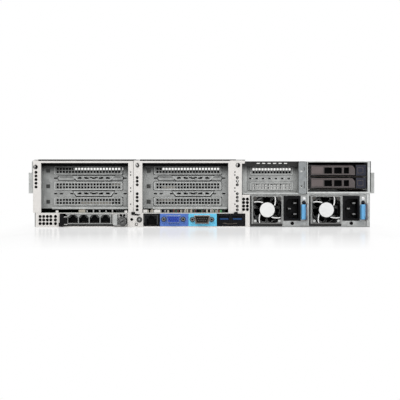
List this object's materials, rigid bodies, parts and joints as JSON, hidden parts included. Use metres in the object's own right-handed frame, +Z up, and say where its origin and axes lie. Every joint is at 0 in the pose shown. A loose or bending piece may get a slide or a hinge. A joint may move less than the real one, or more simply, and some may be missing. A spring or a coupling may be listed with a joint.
{
  "type": "rack server",
  "caption": "Two-unit rack server: riser windows with slot covers, ports, network module, hot-swap supplies and drives, internal fans and a latched lid.",
  "frame": {"origin": "middle of the footprint, on the surface that the chassis lies on", "axes": "+Z up; -Y is the rear with the ports and supplies; +Y is the front with the drives; +X is to the right as seen from the rear"},
  "size_m": [0.4826, 0.7972, 0.0875],
  "materials": {
    "white_paint": "satin powder coat",
    "zinc_steel": "galvanised sheet",
    "dark_steel": "dark coated sheet",
    "black_plastic": "moulded",
    "grey_plastic": "moulded",
    "latch_blue": "moulded",
    "royal_blue": "moulded",
    "sky_blue": "moulded",
    "board_green": "solder-masked laminate",
    "nickel": "plated",
    "aluminium": "machined"
  },
  "bodies": {
    "chassis": {"chassis_tray": "zinc_steel", "rear_panel": "white_paint", "divider_bracket": "zinc_steel", "inner_rails": "zinc_steel", "rack_ears": "dark_steel", "riser_1_frame": "white_paint", "riser_2_frame": "white_paint", "riser_1_cage": "zinc_steel", "riser_2_cage": "zinc_steel", "riser_3_cage": "zinc_steel", "slot_covers": "zinc_steel", "riser_cards": "board_green", "management_port": "black_plastic", "video_port": "royal_blue", "serial_port": "sky_blue", "usb_ports": "black_plastic", "psu_cage": "zinc_steel", "rear_drive_cage": "zinc_steel", "motherboard": "board_green", "memory_modules": "board_green", "heat_sinks": "aluminium", "air_baffle": "black_plastic", "fan_cage": "black_plastic", "front_drive_cage": "zinc_steel", "drive_backplanes": "board_green"},
    "cover": {"top_cover": "zinc_steel"},
    "cover_catch": {"cover_latch": "latch_blue"},
    "network_module": {"nic_faceplate": "nickel", "nic_jacks": "nickel", "nic_board": "board_green"},
    "module_screw": {"nic_thumbscrew": "nickel"},
    "module_ejector": {"nic_lever": "black_plastic"},
    "finder_button": {"uid_button": "grey_plastic"},
    "start_button": {"power_button": "grey_plastic"},
    "supply_1": {"psu_1_case": "zinc_steel", "psu_1_fan_frame": "grey_plastic", "psu_1_inlet": "black_plastic"},
    "supply_1_fan": {"psu_1_rotor": "black_plastic"},
    "supply_1_catch": {"psu_1_latch": "latch_blue"},
    "supply_2": {"psu_2_case": "zinc_steel", "psu_2_fan_frame": "grey_plastic", "psu_2_inlet": "black_plastic"},
    "supply_2_fan": {"psu_2_rotor": "black_plastic"},
    "supply_2_catch": {"psu_2_latch": "latch_blue"},
    "rear_bay_1": {"rear_drive_1": "dark_steel"},
    "rear_bay_1_lever": {"rear_lever_1": "grey_plastic"},
    "rear_bay_2": {"rear_drive_2": "dark_steel"},
    "rear_bay_2_lever": {"rear_lever_2": "grey_plastic"},
    "system_fan_1": {"system_rotor_1": "black_plastic"},
    "system_fan_2": {"system_rotor_2": "black_plastic"},
    "system_fan_3": {"system_rotor_3": "black_plastic"},
    "system_fan_4": {"system_rotor_4": "black_plastic"},
    "front_bay_1": {"front_drive_1": "dark_steel"},
    "front_bay_2": {"front_drive_2": "dark_steel"},
    "front_bay_3": {"front_drive_3": "dark_steel"},
    "front_bay_4": {"front_drive_4": "dark_steel"},
    "front_bay_5": {"front_drive_5": "dark_steel"},
    "front_bay_6": {"front_drive_6": "dark_steel"},
    "front_bay_7": {"front_drive_7": "dark_steel"},
    "front_bay_8": {"front_drive_8": "dark_steel"}
  },
  "joints": [
    {"name": "cover_lift", "type": "slide", "parent": "chassis", "child": "cover", "axis": [0, 0, 1], "range_m": [0, 0.12]},
    {"name": "cover_latch_swing", "type": "hinge", "parent": "cover", "child": "cover_catch", "pos_m": [0, 0.042, 0.083], "axis": [-1, 0, 0], "range_deg": [0, 80]},
    {"name": "module_slide", "type": "slide", "parent": "chassis", "child": "network_module", "axis": [0, -1, 0], "range_m": [0, 0.15]},
    {"name": "module_screw_turn", "type": "hinge", "parent": "network_module", "child": "module_screw", "pos_m": [-0.1019, -0.374, 0.0077], "axis": [0, -1, 0], "continuous": true},
    {"name": "module_ejector_swing", "type": "hinge", "parent": "network_module", "child": "module_ejector", "pos_m": [-0.1755, -0.377, 0.0085], "axis": [0, 0, 1], "range_deg": [0, 70]},
    {"name": "finder_press", "type": "slide", "parent": "chassis", "child": "finder_button", "axis": [0, 1, 0], "range_m": [0, 0.0008], "stiffness_N_per_m": 800},
    {"name": "start_press", "type": "slide", "parent": "chassis", "child": "start_button", "axis": [0, -1, 0], "range_m": [0, 0.0015], "stiffness_N_per_m": 800},
    {"name": "supply_1_slide", "type": "slide", "parent": "chassis", "child": "supply_1", "axis": [0, -1, 0], "range_m": [0, 0.18]},
    {"name": "supply_1_fan_spin", "type": "hinge", "parent": "supply_1", "child": "supply_1_fan", "pos_m": [0.085, -0.362, 0.0224], "axis": [0, 1, 0], "continuous": true},
    {"name": "supply_1_catch_press", "type": "hinge", "parent": "supply_1", "child": "supply_1_catch", "pos_m": [0.1311, -0.36602, 0.02], "axis": [0, 0, -1], "range_deg": [0, 6], "stiffness_Nm_per_rad": 2},
    {"name": "supply_2_slide", "type": "slide", "parent": "chassis", "child": "supply_2", "axis": [0, -1, 0], "range_m": [0, 0.18]},
    {"name": "supply_2_fan_spin", "type": "hinge", "parent": "supply_2", "child": "supply_2_fan", "pos_m": [0.1613, -0.362, 0.0224], "axis": [0, 1, 0], "continuous": true},
    {"name": "supply_2_catch_press", "type": "hinge", "parent": "supply_2", "child": "supply_2_catch", "pos_m": [0.2074, -0.36602, 0.02], "axis": [0, 0, -1], "range_deg": [0, 6], "stiffness_Nm_per_rad": 2},
    {"name": "rear_bay_1_slide", "type": "slide", "parent": "chassis", "child": "rear_bay_1", "axis": [0, -1, 0], "range_m": [0, 0.11]},
    {"name": "rear_bay_1_lever_swing", "type": "hinge", "parent": "rear_bay_1", "child": "rear_bay_1_lever", "pos_m": [0.1438, -0.3678, 0.057], "axis": [0, 0, -1], "range_deg": [0, 55]},
    {"name": "rear_bay_2_slide", "type": "slide", "parent": "chassis", "child": "rear_bay_2", "axis": [0, -1, 0], "range_m": [0, 0.11]},
    {"name": "rear_bay_2_lever_swing", "type": "hinge", "parent": "rear_bay_2", "child": "rear_bay_2_lever", "pos_m": [0.1438, -0.3678, 0.0734], "axis": [0, 0, -1], "range_deg": [0, 55]},
    {"name": "system_fan_1_spin", "type": "hinge", "parent": "chassis", "child": "system_fan_1", "pos_m": [-0.1552, 0.085, 0.0435], "axis": [0, 1, 0], "continuous": true},
    {"name": "system_fan_2_spin", "type": "hinge", "parent": "chassis", "child": "system_fan_2", "pos_m": [-0.0517, 0.085, 0.0435], "axis": [0, 1, 0], "continuous": true},
    {"name": "system_fan_3_spin", "type": "hinge", "parent": "chassis", "child": "system_fan_3", "pos_m": [0.0517, 0.085, 0.0435], "axis": [0, 1, 0], "continuous": true},
    {"name": "system_fan_4_spin", "type": "hinge", "parent": "chassis", "child": "system_fan_4", "pos_m": [0.1552, 0.085, 0.0435], "axis": [0, 1, 0], "continuous": true},
    {"name": "front_bay_1_slide", "type": "slide", "parent": "chassis", "child": "front_bay_1", "axis": [0, 1, 0], "range_m": [0, 0.15]},
    {"name": "front_bay_2_slide", "type": "slide", "parent": "chassis", "child": "front_bay_2", "axis": [0, 1, 0], "range_m": [0, 0.15]},
    {"name": "front_bay_3_slide", "type": "slide", "parent": "chassis", "child": "front_bay_3", "axis": [0, 1, 0], "range_m": [0, 0.15]},
    {"name": "front_bay_4_slide", "type": "slide", "parent": "chassis", "child": "front_bay_4", "axis": [0, 1, 0], "range_m": [0, 0.15]},
    {"name": "front_bay_5_slide", "type": "slide", "parent": "chassis", "child": "front_bay_5", "axis": [0, 1, 0], "range_m": [0, 0.15]},
    {"name": "front_bay_6_slide", "type": "slide", "parent": "chassis", "child": "front_bay_6", "axis": [0, 1, 0], "range_m": [0, 0.15]},
    {"name": "front_bay_7_slide", "type": "slide", "parent": "chassis", "child": "front_bay_7", "axis": [0, 1, 0], "range_m": [0, 0.15]},
    {"name": "front_bay_8_slide", "type": "slide", "parent": "chassis", "child": "front_bay_8", "axis": [0, 1, 0], "range_m": [0, 0.15]}
  ]
}
